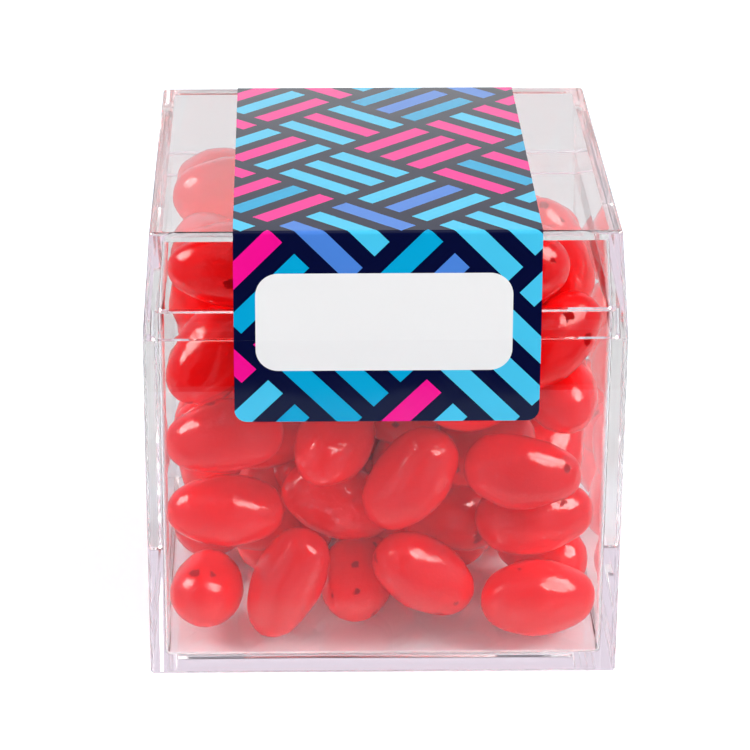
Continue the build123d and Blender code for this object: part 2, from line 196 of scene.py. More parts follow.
def printed_film():
    """Gloss laminated film printed in flat inks: a parquet of slanting bars on navy, with one plain
    white panel. Pressing it on by hand leaves slow waves that bend its reflections."""
    sizes = bpy.context.scene.candy_box_sizes
    inks = bpy.context.scene.candy_box_colours
    material, tree = new_material("printed_gloss_laminated_film")
    film = add(tree, "ShaderNodeUVMap", uv_map=FILM_UV).outputs["UV"]

    # the parquet: square cells of three bars, turned by 45 degrees, each across its neighbours
    step = (sizes.bar + sizes.bar_gap) / MM
    cell = BARS * step
    turned = add(tree, "ShaderNodeMapping", {
        "Vector": film, "Rotation": (0, 0, math.radians(45)), "Location": PARQUET_SHIFT,
        "Scale": (1 / cell, 1 / cell, 1)})
    tile = add(tree, "ShaderNodeVectorMath", {0: turned.outputs[0]}, operation="FLOOR")
    inside = add(tree, "ShaderNodeVectorMath", {0: turned.outputs[0]}, operation="FRACTION")
    tile_sum = add(tree, "ShaderNodeVectorMath", {0: tile.outputs[0], 1: (1, 1, 0)},
                   operation="DOT_PRODUCT")
    turn = add(tree, "ShaderNodeMath", {0: tile_sum.outputs["Value"], 1: 2.0},
               operation="FLOORED_MODULO")
    part = add(tree, "ShaderNodeSeparateXYZ", {0: inside.outputs[0]})
    across = add(tree, "ShaderNodeMix", {
        "Factor": turn.outputs[0], "A": part.outputs["X"], "B": part.outputs["Y"]})
    along = add(tree, "ShaderNodeMix", {
        "Factor": turn.outputs[0], "A": part.outputs["Y"], "B": part.outputs["X"]})
    counted = add(tree, "ShaderNodeMath", {0: across.outputs[0], 1: float(BARS)},
                  operation="MULTIPLY")
    number = add(tree, "ShaderNodeMath", {0: counted.outputs[0]}, operation="FLOOR")
    in_step = add(tree, "ShaderNodeMath", {0: counted.outputs[0]}, operation="FRACT")
    on_bar = add(tree, "ShaderNodeMath", {
        0: in_step.outputs[0], 1: 0.5, 2: sizes.bar / (sizes.bar + sizes.bar_gap) / 2},
        operation="COMPARE")
    in_length = add(tree, "ShaderNodeMath", {
        0: along.outputs[0], 1: 0.5, 2: 0.5 - sizes.bar_gap / MM / cell / 2}, operation="COMPARE")
    printed = add(tree, "ShaderNodeMath", {0: on_bar.outputs[0], 1: in_length.outputs[0]},
                  operation="MULTIPLY")

    # one ink for the two outer bars of a cell and one for the middle bar, drawn by lot: 31% are
    # sky, 35% magenta, 18% azure and 16% periwinkle
    off_middle = add(tree, "ShaderNodeMath", {0: number.outputs[0], 1: 1.0, 2: 0.1},
                     operation="COMPARE")
    middle_step = add(tree, "ShaderNodeCombineXYZ", {"Z": off_middle.outputs[0]})
    key = add(tree, "ShaderNodeVectorMath", {0: tile.outputs[0], 1: middle_step.outputs[0]},
              operation="ADD")
    dice = add(tree, "ShaderNodeTexWhiteNoise", {"Vector": key.outputs[0]},
               noise_dimensions="3D")
    ink = add(tree, "ShaderNodeValToRGB", {"Fac": dice.outputs["Value"]})
    ink.color_ramp.interpolation = "CONSTANT"
    stops = ink.color_ramp.elements
    stops[0].color = inks.sky
    stops[1].position = 0.31
    stops[1].color = inks.magenta
    stops.new(0.66).color = inks.azure
    stops.new(0.84).color = inks.periwinkle
    pattern = add(tree, "ShaderNodeMix", {
        "Factor": printed.outputs[0], "A": tuple(inks.navy), "B": ink.outputs["Color"]},
        data_type="RGBA")

    # the panel: how far a point lies outside a block that is smaller by the corner's radius
    rim = film_rim(sizes)
    middle = rim + (sizes.panel_middle - LID_LOW.z) / MM
    half = ((sizes.panel_width / 2 - sizes.panel_corner) / MM,
            (sizes.panel_height / 2 - sizes.panel_corner) / MM, 0)
    from_middle = add(tree, "ShaderNodeVectorMath", {
        0: film, 1: (sizes.panel_shift / MM, middle, 0)}, operation="SUBTRACT")
    folded = add(tree, "ShaderNodeVectorMath", {0: from_middle.outputs[0]}, operation="ABSOLUTE")
    beyond = add(tree, "ShaderNodeVectorMath", {0: folded.outputs[0], 1: half},
                 operation="SUBTRACT")
    outside = add(tree, "ShaderNodeVectorMath", {0: beyond.outputs[0], 1: (0, 0, 0)},
                  operation="MAXIMUM")
    far = add(tree, "ShaderNodeVectorMath", {0: outside.outputs[0]}, operation="LENGTH")
    on_panel = add(tree, "ShaderNodeMath", {0: far.outputs["Value"], 1: sizes.panel_corner / MM},
                   operation="LESS_THAN")
    print_colour = add(tree, "ShaderNodeMix", {
        "Factor": on_panel.outputs[0], "A": pattern.outputs["Result"], "B": tuple(inks.panel)},
        data_type="RGBA")

    # slow waves about 9 mm apart
    waves = add(tree, "ShaderNodeTexNoise", {"Vector": film, "Scale": 0.11, "Detail": 1.5})
    bump = add(tree, "ShaderNodeBump", {"Strength": 0.35, "Distance": 0.0003,
                                        "Height": waves.outputs["Fac"]})
    shine = add(tree, "ShaderNodeBsdfPrincipled", {
        "Base Color": print_colour.outputs["Result"], "Roughness": 0.09, "IOR": 1.37,
        "Normal": bump.outputs["Normal"]})
    add(tree, "ShaderNodeOutputMaterial", {"Surface": shine.outputs[0]})
    return material


def candy_shell():
    """Panned sugar shell polished with wax: an even red with a sharp gloss over orange peel about
    2 mm apart and a crackle about 0.5 mm apart, with a ragged pinhole here and there where the
    syrup left a bubble. Both are coarser than real ones, so that they show."""
    sizes = bpy.context.scene.candy_box_sizes
    tints = bpy.context.scene.candy_box_colours
    material, tree = new_material("panned_sugar_shell_wax_polished")
    place = add(tree, "ShaderNodeTexCoord").outputs["Object"]
    peel = add(tree, "ShaderNodeTexNoise", {
        "Vector": place, "Scale": 480.0, "Detail": 3.0, "Roughness": 0.62})
    dimples = add(tree, "ShaderNodeBump", {"Strength": 0.6, "Distance": 0.00012,
                                           "Height": peel.outputs["Fac"]})
    grain = add(tree, "ShaderNodeTexNoise", {"Vector": place, "Scale": 2200.0, "Detail": 2.0})
    crackle = add(tree, "ShaderNodeBump", {
        "Strength": 0.5, "Distance": 0.00006, "Height": grain.outputs["Fac"],
        "Normal": dimples.outputs["Normal"]})
    ragged = add(tree, "ShaderNodeTexNoise", {"Vector": place, "Scale": 1800.0})
    wobble = add(tree, "ShaderNodeVectorMath", {0: ragged.outputs["Color"], 1: (0.001,) * 3},
                 operation="MULTIPLY")
    shaken = add(tree, "ShaderNodeVectorMath", {0: place, 1: wobble.outputs[0]}, operation="ADD")
    holes = add(tree, "ShaderNodeTexVoronoi", {"Vector": shaken.outputs[0],
                                               "Scale": 1 / PIT_CELL})
    few = add(tree, "ShaderNodeSeparateColor", {0: holes.outputs["Color"]})
    chosen = add(tree, "ShaderNodeMath", {0: few.outputs["Red"], 1: PITLESS},
                 operation="GREATER_THAN")
    width = add(tree, "ShaderNodeMath", {0: few.outputs["Green"], 1: 0.45}, operation="ADD")
    spread = add(tree, "ShaderNodeMath", {0: holes.outputs["Distance"], 1: width.outputs[0]},
                 operation="DIVIDE")
    near = add(tree, "ShaderNodeMapRange", {
        "Value": spread.outputs[0], "From Min": sizes.pit / PIT_CELL,
        "From Max": PIT_FLOOR * sizes.pit / PIT_CELL}, interpolation_type="SMOOTHSTEP")
    pit = add(tree, "ShaderNodeMath", {0: near.outputs[0], 1: chosen.outputs[0]},
              operation="MULTIPLY")
    depth = add(tree, "ShaderNodeBump", {
        "Strength": 0.3, "Distance": 0.0001, "Height": pit.outputs[0],
        "Normal": crackle.outputs["Normal"]}, invert=True)
    cloud = add(tree, "ShaderNodeTexNoise", {"Vector": place, "Scale": 140.0, "Detail": 2.0})
    tone = add(tree, "ShaderNodeAttribute", attribute_name=BEAN_SHADE)
    shade = add(tree, "ShaderNodeMath", {0: tone.outputs["Fac"], 1: 0.12, 2: 0.12},
                operation="MULTIPLY_ADD")
    thick = add(tree, "ShaderNodeMath", {0: cloud.outputs["Fac"], 1: 0.3, 2: shade.outputs[0]},
                operation="MULTIPLY_ADD")
    dark = add(tree, "ShaderNodeMath", {0: thick.outputs[0], 1: pit.outputs[0]},
               operation="MAXIMUM", use_clamp=True)
    body = add(tree, "ShaderNodeMix", {
        "Factor": dark.outputs[0], "A": tuple(tints.candy), "B": tuple(tints.candy_deep)},
        data_type="RGBA")
    glazed = add(tree, "ShaderNodeMath", {0: 1.0, 1: pit.outputs[0]}, operation="SUBTRACT",
                 use_clamp=True)
    shell = add(tree, "ShaderNodeBsdfPrincipled", {
        "Base Color": body.outputs["Result"], "Roughness": 0.5, "IOR": 1.5,
        "Specular IOR Level": 0.0, "Subsurface Weight": 1.0, "Subsurface Scale": 0.005,
        "Subsurface Radius": (1.0, 0.08, 0.06), "Coat Weight": glazed.outputs[0],
        "Coat Roughness": 0.03, "Coat IOR": 1.48,
        "Normal": depth.outputs["Normal"], "Coat Normal": depth.outputs["Normal"]})
    add(tree, "ShaderNodeOutputMaterial", {"Surface": shell.outputs[0]})
    return material


# ---- helpers for modelling ----
def deselect():
    """Nothing is selected, and Blender is in object mode."""
    if bpy.context.object and bpy.context.object.mode != "OBJECT":
        bpy.ops.object.mode_set(mode="OBJECT")
    bpy.ops.object.select_all(action="DESELECT")


def pick(obj, test, mode="VERT"):
    """Enters edit mode with exactly the vertices chosen whose place passes the test."""
    bpy.ops.object.mode_set(mode="EDIT")
    bpy.ops.mesh.select_mode(type=mode)
    bpy.ops.mesh.select_all(action="DESELECT")
    bpy.ops.object.mode_set(mode="OBJECT")
    for vertex in obj.data.vertices:
        vertex.select = bool(test(vertex.co))
    bpy.ops.object.mode_set(mode="EDIT")


def activate(obj):
    """The piece alone is selected and active."""
    deselect()
    obj.select_set(True)
    bpy.context.view_layer.objects.active = obj


def paint(obj, *materials):
    """The piece's slots hold these materials."""
    obj.data.materials.clear()
    for material in materials:
        obj.data.materials.append(material)


def shared_material(name, make):
    """A material of that name, made once."""
    return bpy.data.materials.get(name) or make()


# ---- the label ----
def film_path(sizes):
    """The film's outer line over the lid in Y and Z, from the slit at the front to the slit at the
    back, and how far along the film each point lies. Zero is the middle of the top."""
    lean = math.atan2(sizes.lid_lean, LID_HIGH.z - LID_LOW.z)
    top = LID_HIGH.z + sizes.film
    foot_z = LABEL_LOW.z - sizes.slit
    foot_y = LID_HIGH.y + sizes.film / math.cos(lean)
    radius = sizes.lid_edge + sizes.film
    turn = math.pi / 2 - lean
    corner_y = foot_y - math.tan(lean) * (top - foot_z)
    tangent = radius * math.tan(turn / 2)
    centre_y = corner_y - tangent
    centre_z = top - radius
    steps = 6
    arc = []
    for i in range(steps + 1):
        angle = lean + turn * i / steps
        arc.append((centre_y + radius * math.cos(angle), centre_z + radius * math.sin(angle)))
    back = [(foot_y, foot_z)] + arc
    front = [(-y, z) for y, z in back]
    line = front + back[::-1]
    along = [0.0]
    for a, b in zip(line, line[1:]):
        along.append(along[-1] + math.dist(a, b))
    middle = along[-1] / 2
    return line, [a - middle for a in along]


def film_rim(sizes):
    """Where the slit lies along the film, in millimetres from the middle of the top."""
    return film_path(sizes)[1][0] / MM


def map_film(obj, along):
    """Gives the piece the film's own map: millimetres across, and along as the function says."""
    middle = (LABEL_LOW.x + LABEL_HIGH.x) / 2
    layer = obj.data.uv_layers.new(name=FILM_UV)
    for loop in obj.data.loops:
        co = obj.data.vertices[loop.vertex_index].co
        layer.data[loop.index].uv = ((co.x - middle) / MM, along(co))


def thicken_film(obj, sizes):
    """The sheet gets its thickness inwards, with a white core at its edges and behind."""
    activate(obj)
    paint(obj, shared_material("printed_gloss_laminated_film", printed_film),
          shared_material("white_polypropylene_film_back", film_core))
    wall = obj.modifiers.new("film", "SOLIDIFY")
    wall.thickness = sizes.film + sizes.film_sink
    wall.offset = -1
    wall.material_offset = 1
    wall.material_offset_rim = 1
    bpy.ops.object.modifier_apply(modifier=wall.name)


def upright_sheet(name, low, high, y):
    """A flat sheet that faces the front at y, between two corners in X and Z."""
    deselect()
    bpy.ops.mesh.primitive_plane_add(size=1, location=(0, 0, 0), rotation=(math.pi / 2, 0, 0))
    sheet = bpy.context.object
    sheet.name = name
    bpy.ops.object.transform_apply(location=True, rotation=True, scale=True)
    bpy.ops.object.mode_set(mode="EDIT")
    bpy.ops.mesh.select_all(action="SELECT")
    bpy.ops.transform.resize(value=(high[0] - low[0], 1, high[1] - low[1]))
    bpy.ops.transform.translate(value=((high[0] + low[0]) / 2, y, (high[1] + low[1]) / 2))
    bpy.ops.object.mode_set(mode="OBJECT")
    return sheet


def label_over_lid():
    """The film over the lid: up the front, round the edge, over the top and down the back."""
    sizes = bpy.context.scene.candy_box_sizes
    line, along = film_path(sizes)
    (y0, z0), (y1, z1) = line[0], line[1]
    sheet = upright_sheet("label_over_lid", (LABEL_LOW.x, z0), (LABEL_HIGH.x, z1), y0)
    pick(sheet, lambda co: co.z > (z0 + z1) / 2)
    bpy.ops.transform.translate(value=(0, y1 - y0, 0))
    for (ya, za), (yb, zb) in zip(line[1:], line[2:]):
        bpy.ops.mesh.extrude_edges_move(
            TRANSFORM_OT_translate={"value": (0, yb - ya, zb - za)})
    bpy.ops.mesh.select_all(action="SELECT")
    bpy.ops.mesh.normals_make_consistent(inside=False)
    bpy.ops.object.mode_set(mode="OBJECT")
    if sheet.data.polygons[0].normal.y > 0:
        sheet.data.flip_normals()
    points = np.array(line)
    places = np.array(along)

    def place_on_film(co):
        nearest = int(np.argmin(np.hypot(points[:, 0] - co.y, points[:, 1] - co.z)))
        return places[nearest] / MM

    map_film(sheet, place_on_film)
    thicken_film(sheet, sizes)
    bpy.ops.object.shade_smooth_by_angle(angle=math.radians(30))
    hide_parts("lid_label")
    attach(sheet, LID_BODY)
    return sheet


def label_end(name, node, side):
    """One end of the film on the base: side is -1 at the front and 1 at the back."""
    sizes = bpy.context.scene.candy_box_sizes
    low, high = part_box(node)
    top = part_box("lid_label")[0].z - sizes.slit
    sheet = upright_sheet(name, (low.x, low.z), (high.x, top), FILM_FRONT)
    pick(sheet, lambda co: co.z < (low.z + top) / 2)
    bpy.ops.mesh.bevel(offset=sizes.film_corner, segments=8, affect="VERTICES")
    bpy.ops.object.mode_set(mode="OBJECT")
    lean = sizes.base_lean / BASE_HIGH.z
    for vertex in sheet.data.vertices:
        vertex.co.y = -side * (vertex.co.y + lean * (top - vertex.co.z))
    if side > 0:
        sheet.data.flip_normals()
    rim = film_rim(sizes)

    def place_on_film(co):
        below = rim - (top - co.z) / MM
        return below if side < 0 else -below

    map_film(sheet, place_on_film)
    thicken_film(sheet, sizes)
    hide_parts(node)
    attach(sheet, BASE_BODY)
    return sheet


# ---- the beans ----
MASTER_LENGTH = 14.8 * MM
MASTER_WIDTH = 9.9 * MM
END_RADIUS = 4.2 * MM
BEAN_RINGS = 24
BEAN_SIDES = 32
BEAN_SHAPES = 5
SHAPE_SEED, FRONT_SEED, HEAP_SEED = 100, 7, 11
DENT_SHARE = (0.6, 1.2)      # how deep the inner side's hollow is, over its full depth
DENT_SHIFT = 0.4             # how far it may lie off the middle, in millimetres
DENT_REACH = 4.6 * MM
TAPER = (0.82, 0.95)         # how wide the thinner end is, over the other one
TAPER_REACH = 7 * MM
FLATNESS = (0.93, 0.99)      # how thick a bean is, over its width
LUMP_SIZE = 3.2 * MM
LUMP_STEP = 31 * MM          # so far apart the shapes lie in the lumps, so that no two are alike
ASIDE = 10                   # metres up, where a ring waits, so that none is picked twice


def bean_radius(height):
    """Radius of the moulded bean at a height from its middle: a barrel between two round ends."""
    stick = MASTER_LENGTH / 2 - END_RADIUS
    half = MASTER_WIDTH / 2
    barrel = (half ** 2 - END_RADIUS ** 2 + stick ** 2) / (MASTER_WIDTH - 2 * END_RADIUS)
    split = barrel * math.sin(math.atan2(stick, barrel - half))
    along = abs(height)
    if along < split:
        return math.sqrt(barrel ** 2 - along ** 2) - (barrel - half)
    return math.sqrt(max(END_RADIUS ** 2 - (along - stick) ** 2, 0.0))


def stretch_to_bean(ball, shrink):
    """Moves each ring of a ball of radius 1 to its place and its girth along the bean."""
    for z in sorted({round(v.co.z, 6) for v in ball.data.vertices}):
        height = MASTER_LENGTH / 2 * z
        girth = math.sqrt(max(1 - z * z, 0.0))
        pick(ball, lambda co: abs(co.z - z) < 1e-4)
        if girth >= 0.001:
            wide = bean_radius(height) * shrink / girth
            bpy.ops.transform.resize(value=(wide, wide, 1), center_override=(0, 0, z))
        bpy.ops.transform.translate(value=(0, 0, ASIDE + height * shrink - z))
    bpy.ops.mesh.select_all(action="SELECT")
    bpy.ops.transform.translate(value=(0, 0, -ASIDE))


def model_bean(number):
    """One bean standing upright: a sphere drawn out to a barrel, with a hollow in its inner side,
    one thinner end and slow lumps. Each number gives another bean."""
    sizes = bpy.context.scene.candy_box_sizes
    chance = random.Random(SHAPE_SEED + number)
    deselect()
    bpy.ops.mesh.primitive_uv_sphere_add(segments=BEAN_SIDES, ring_count=BEAN_RINGS, radius=1)
    bean = bpy.context.object
    bean.name = f"bean_shape_{number}"
    stretch_to_bean(bean, 1 - (sizes.bean_clearance + sizes.bean_lump / 2) / (MASTER_WIDTH / 2))
    pick(bean, lambda co: co.x > 0.9 * MASTER_WIDTH / 2 and abs(co.z) < 1.2 * MM)
    dent = sizes.bean_dent * chance.uniform(*DENT_SHARE)
    bpy.ops.transform.translate(
        value=(-dent, 0, chance.uniform(-DENT_SHIFT, DENT_SHIFT) * MM),
        use_proportional_edit=True, proportional_edit_falloff="SMOOTH",
        proportional_size=DENT_REACH)
    pick(bean, lambda co: co.z < -MASTER_LENGTH / 2 + 2 * MM)
    taper = chance.uniform(*TAPER)
    bpy.ops.transform.resize(
        value=(taper, taper, 1), center_override=(0, 0, -MASTER_LENGTH / 2),
        use_proportional_edit=True, proportional_edit_falloff="SMOOTH",
        proportional_size=TAPER_REACH)
    bpy.ops.mesh.select_all(action="SELECT")
    bpy.ops.transform.resize(value=(1, chance.uniform(*FLATNESS), 1), center_override=(0, 0, 0))
    bpy.ops.mesh.normals_make_consistent(inside=False)
    bpy.ops.object.mode_set(mode="OBJECT")
    clouds = bpy.data.textures.new(f"shell_lumps_{number}", "CLOUDS")
    clouds.noise_scale = LUMP_SIZE
    clouds.noise_depth = 1
    waves = bean.modifiers.new("lumps", "DISPLACE")
    waves.texture = clouds
    waves.texture_coords = "LOCAL"
    waves.strength = sizes.bean_lump
    bean.data.transform(Matrix.Translation((number * LUMP_STEP, 0, 0)))
    bpy.ops.object.modifier_apply(modifier=waves.name)
    bean.data.transform(Matrix.Translation((-number * LUMP_STEP, 0, 0)))
    bpy.ops.object.shade_smooth()
    return bean


def loose_solids(node):
    """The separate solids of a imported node, as arrays of their triangles' corners."""
    deselect()
    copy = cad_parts[node].copy()
    copy.data = copy.data.copy()
    copy.hide_viewport = False
    bpy.context.scene.collection.objects.link(copy)
    activate(copy)
    bpy.ops.object.mode_set(mode="EDIT")
    bpy.ops.mesh.select_all(action="SELECT")
    bpy.ops.mesh.remove_doubles(threshold=0.000001)
    bpy.ops.mesh.separate(type="LOOSE")
    bpy.ops.object.mode_set(mode="OBJECT")
    parts = list(bpy.context.selected_objects)
    solids = []
    for part in sorted(parts, key=lambda o: tuple(o.data.vertices[0].co)):
        corners = np.zeros(len(part.data.vertices) * 3)
        part.data.vertices.foreach_get("co", corners)
        index = np.zeros(len(part.data.loops), int)
        part.data.loops.foreach_get("vertex_index", index)
        solids.append(corners.reshape(-1, 3)[index].reshape(-1, 3, 3))
        bpy.data.objects.remove(part)
    return solids


def lie_of(triangles):
    """Centre, long axis, length and width of a bean from its triangles."""
    area = np.linalg.norm(np.cross(triangles[:, 1] - triangles[:, 0],
                                   triangles[:, 2] - triangles[:, 0]), axis=1)
    middles = triangles.mean(axis=1)
    centre = (middles * area[:, None]).sum(0) / area.sum()
    spread = ((middles - centre) * area[:, None]).T @ (middles - centre)
    axis = np.linalg.eigh(spread)[1][:, -1]
    points = triangles.reshape(-1, 3) - centre
    along = points @ axis
    centre = centre + axis * (along.max() + along.min()) / 2
    away = np.linalg.norm(points - along[:, None] * axis, axis=1)
    return Vector(centre), Vector(axis), float(np.ptp(along)), 2 * float(away.max())


def bean_pieces(nodes, shapes, chance):
    """One piece for each node, with a bean in the place of each of its solids."""
    shell = shared_material("panned_sugar_shell_wax_polished", candy_shell)
    pieces = []
    for node in nodes:
        beans = []
        for triangles in loose_solids(node):
            centre, axis, long, wide = lie_of(triangles)
            bean = shapes[chance.randrange(len(shapes))].copy()
            bean.data = bean.data.copy()
            bpy.context.scene.collection.objects.link(bean)
            if chance.random() < 0.5:
                axis = -axis
            place = Matrix.Translation(centre) @ axis.to_track_quat("Z", "Y").to_matrix().to_4x4()
            roll = Matrix.Rotation(chance.uniform(0, 2 * math.pi), 4, "Z")
            size = Matrix.Diagonal((wide / MASTER_WIDTH, wide / MASTER_WIDTH,
                                    long / MASTER_LENGTH, 1))
            bean.data.transform(place @ roll @ size)
            tone = bean.data.attributes.new(BEAN_SHADE, "FLOAT", "POINT")
            value = chance.uniform(-1, 1)
            tone.data.foreach_set("value", [value] * len(bean.data.vertices))
            beans.append(bean)
        deselect()
        for bean in beans:
            bean.select_set(True)
        bpy.context.view_layer.objects.active = beans[0]
        if len(beans) > 1:
            bpy.ops.object.join()
        piece = beans[0]
        piece.name = node.replace("bean", "candy").replace("candys", "candies")
        paint(piece, shell)
        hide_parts(node)
        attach(piece, BASE_BODY)
        pieces.append(piece)
    return pieces


def nodes_named(start):
    """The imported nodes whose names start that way, in order."""
    return sorted(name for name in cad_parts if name.startswith(start))


def fill_with_beans(start, seed):
    """Models the bean shapes, lays one in the place of each solid and takes the shapes away."""
    shapes = [model_bean(number) for number in range(BEAN_SHAPES)]
    bean_pieces(nodes_named(start), shapes, random.Random(seed))
    for shape in shapes:
        bpy.data.objects.remove(shape)


# ---- operators for the pieces ----
class OBJECT_OT_candy_box_plastic(bpy.types.Operator):
    """Gives the base and the lid their clear plastic"""
    bl_idname = "object.candy_box_plastic"
    bl_label = "Clear Base and Lid"

    def execute(self, context):
        plastic = clear_acrylic()
        for name in ("base", "lid"):
            paint(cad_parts[name], plastic)
        return {"FINISHED"}


class OBJECT_OT_candy_box_lid_label(bpy.types.Operator):
    """Models the printed film over the lid"""
    bl_idname = "object.candy_box_lid_label"
    bl_label = "Label Over the Lid"

    def execute(self, context):
        label_over_lid()
        return {"FINISHED"}


class OBJECT_OT_candy_box_label_ends(bpy.types.Operator):
    """Models the two ends of the film on the base"""
    bl_idname = "object.candy_box_label_ends"
    bl_label = "Label Ends"

    def execute(self, context):
        label_end("label_front_end", "front_label_tab", -1)
        label_end("label_back_end", "back_label_tab", 1)
        return {"FINISHED"}


class OBJECT_OT_candy_box_front_beans(bpy.types.Operator):
    """Models the jelly beans against the front wall"""
    bl_idname = "object.candy_box_front_beans"
    bl_label = "Front Beans"

    def execute(self, context):
        fill_with_beans("front_bean", FRONT_SEED)
        return {"FINISHED"}


class OBJECT_OT_candy_box_heap_beans(bpy.types.Operator):
    """Models the jelly beans of the heap behind"""
    bl_idname = "object.candy_box_heap_beans"
    bl_label = "Heap Beans"

    def execute(self, context):
        fill_with_beans("heap_beans", HEAP_SEED)
        return {"FINISHED"}


# ---- the stage ----
TABLE_REACH = 0.6            # to each side of the box
TABLE_DEPTH = 1.0
TABLE_DROP = 0.02 * MM       # below the box, so that the two faces don't share a plane
TABLE_GLOW = 0.42            # makes the table white where it is seen straight on
FRONT_FADE, BACK_FADE = 5 * MM, 15 * MM      # over which the painted shade on the table fades in
LAMP_TINT = (1.0, 0.98, 0.95)
LEFT, RIGHT = (-0.72, 0.02, 0.70), (0.63, -0.24, 0.74)
# Name, direction, distance and width in metres, watts, and whether it shows in gloss. Those that do
# stand nearer, because Cycles loses one of two lamps that lie in one plane.
LAMPS = (
    ("left_lamp", LEFT, 1.0, 0.34, 3.6, False),
    ("right_lamp", RIGHT, 1.0, 0.42, 4.7, False),
    ("left_sparkle", LEFT, 0.95, 0.54, 72.0, True),
    ("right_sparkle", RIGHT, 0.95, 0.76, 125.0, True),
)


def soft_box(name, towards, distance, size, watts, gloss):
    """A round lamp at that distance in that direction, turned to the middle of the box. It lights
    either matt surfaces or gloss."""
    aim = Vector((0, 0, (BASE_LOW.z + LID_HIGH.z) / 2))
    lamp = bpy.data.lights.new(name, "AREA")
    lamp.shape = "DISK"
    lamp.size = size
    lamp.energy = watts
    lamp.color = LAMP_TINT
    stand = bpy.data.objects.new(name, lamp)
    bpy.context.scene.collection.objects.link(stand)
    stand.location = aim + Vector(towards).normalized() * distance
    stand.rotation_euler = (aim - stand.location).to_track_quat("-Z", "Y").to_euler()
    stand.visible_diffuse = not gloss
    stand.visible_glossy = gloss
    stand.visible_transmission = gloss


def table_finish():
    """White laminate table that keeps soft shadows and is white where it is seen straight on. Gloss
    and clear plastic see painted shade on it, darker away from the box as if less light fell there:
    gloss mirrors the whole table in a darker bluish tone, and clear plastic shows it pale round
    the box, grey before it and a little grey behind it."""
    sizes = bpy.context.scene.candy_box_sizes
    colours = bpy.context.scene.candy_box_colours
    material, tree = new_material("white_laminate_table")
    place = add(tree, "ShaderNodeTexCoord").outputs["Object"]
    grain = add(tree, "ShaderNodeTexNoise", {"Vector": place, "Scale": 90.0, "Detail": 3.0})
    bump = add(tree, "ShaderNodeBump", {"Strength": 0.05, "Distance": 0.0001,
                                        "Height": grain.outputs["Fac"]})
    top = add(tree, "ShaderNodeBsdfDiffuse", {"Color": tuple(colours.table),
                                              "Normal": bump.outputs["Normal"]})
    glow = add(tree, "ShaderNodeEmission", {"Color": (1, 1, 1, 1), "Strength": TABLE_GLOW})
    bright = add(tree, "ShaderNodeAddShader", {0: top.outputs[0], 1: glow.outputs[0]})
    part = add(tree, "ShaderNodeSeparateXYZ", {0: place})
    # painted shade: beyond the pale reach before the box, clear plastic sees the table grey; gloss
    # mirrors the whole table in a darker bluish tone
    front_edge = BASE_LOW.y - sizes.pale_reach
    ahead = add(tree, "ShaderNodeMapRange", {
        "Value": part.outputs["Y"], "From Min": front_edge,
        "From Max": front_edge - FRONT_FADE}, interpolation_type="SMOOTHSTEP")
    rays = add(tree, "ShaderNodeLightPath")
    through = add(tree, "ShaderNodeMath", {
        0: ahead.outputs[0], 1: rays.outputs["Is Transmission Ray"]}, operation="MULTIPLY")
    by_mirror = add(tree, "ShaderNodeMath", {
        0: rays.outputs["Is Glossy Ray"], 1: rays.outputs["Is Transmission Ray"]},
        operation="SUBTRACT")
    painted_shade_mask = add(tree, "ShaderNodeMath", {0: through.outputs[0], 1: by_mirror.outputs[0]},
                 operation="MAXIMUM")
    front = add(tree, "ShaderNodeMix", {
        "Factor": by_mirror.outputs[0], "A": tuple(colours.table_front),
        "B": tuple(colours.mirrored_table_shade)}, data_type="RGBA")
    grey = add(tree, "ShaderNodeBsdfDiffuse", {"Color": front.outputs["Result"]})
    # painted shade: beyond the pale reach behind the box, clear plastic sees the table a little
    # grey
    back_edge = BASE_HIGH.y + sizes.pale_reach
    past = add(tree, "ShaderNodeMapRange", {
        "Value": part.outputs["Y"], "From Min": back_edge, "From Max": back_edge + BACK_FADE},
        interpolation_type="SMOOTHSTEP")
    behind = add(tree, "ShaderNodeMath", {
        0: past.outputs[0], 1: rays.outputs["Is Transmission Ray"]}, operation="MULTIPLY")
    tone = add(tree, "ShaderNodeMix", {
        "Factor": behind.outputs[0], "A": tuple(colours.table),
        "B": tuple(colours.table_shade_behind)}, data_type="RGBA")
    pale = add(tree, "ShaderNodeBsdfDiffuse", {"Color": tone.outputs["Result"],
                                               "Normal": bump.outputs["Normal"]})
    reflected = add(tree, "ShaderNodeMixShader", {
        0: painted_shade_mask.outputs[0], 1: pale.outputs[0], 2: grey.outputs[0]})
    seen = add(tree, "ShaderNodeMixShader", {
        0: rays.outputs["Is Camera Ray"], 1: reflected.outputs[0], 2: bright.outputs[0]})
    add(tree, "ShaderNodeOutputMaterial", {"Surface": seen.outputs[0]})
    return material


EVEN_LIGHT = 0.52            # from every side, on matt surfaces
FRONT_LIGHT = 0.36           # how much more of it comes from the front, and less from behind
# where a direction's Y, Z or X starts and ends the change from the dim room, and how pale it gets
BACKDROP_SIDE = (-0.2, 0.15)
BACKDROP_TOP = (0.65, 0.5)
TOP_CARD = (0.80, 0.90, 0.6)
SIDE_CARDS = (0.72, 0.85, 0.85)
WINGS = (0.34, 0.46, 0.6)    # only through clear plastic


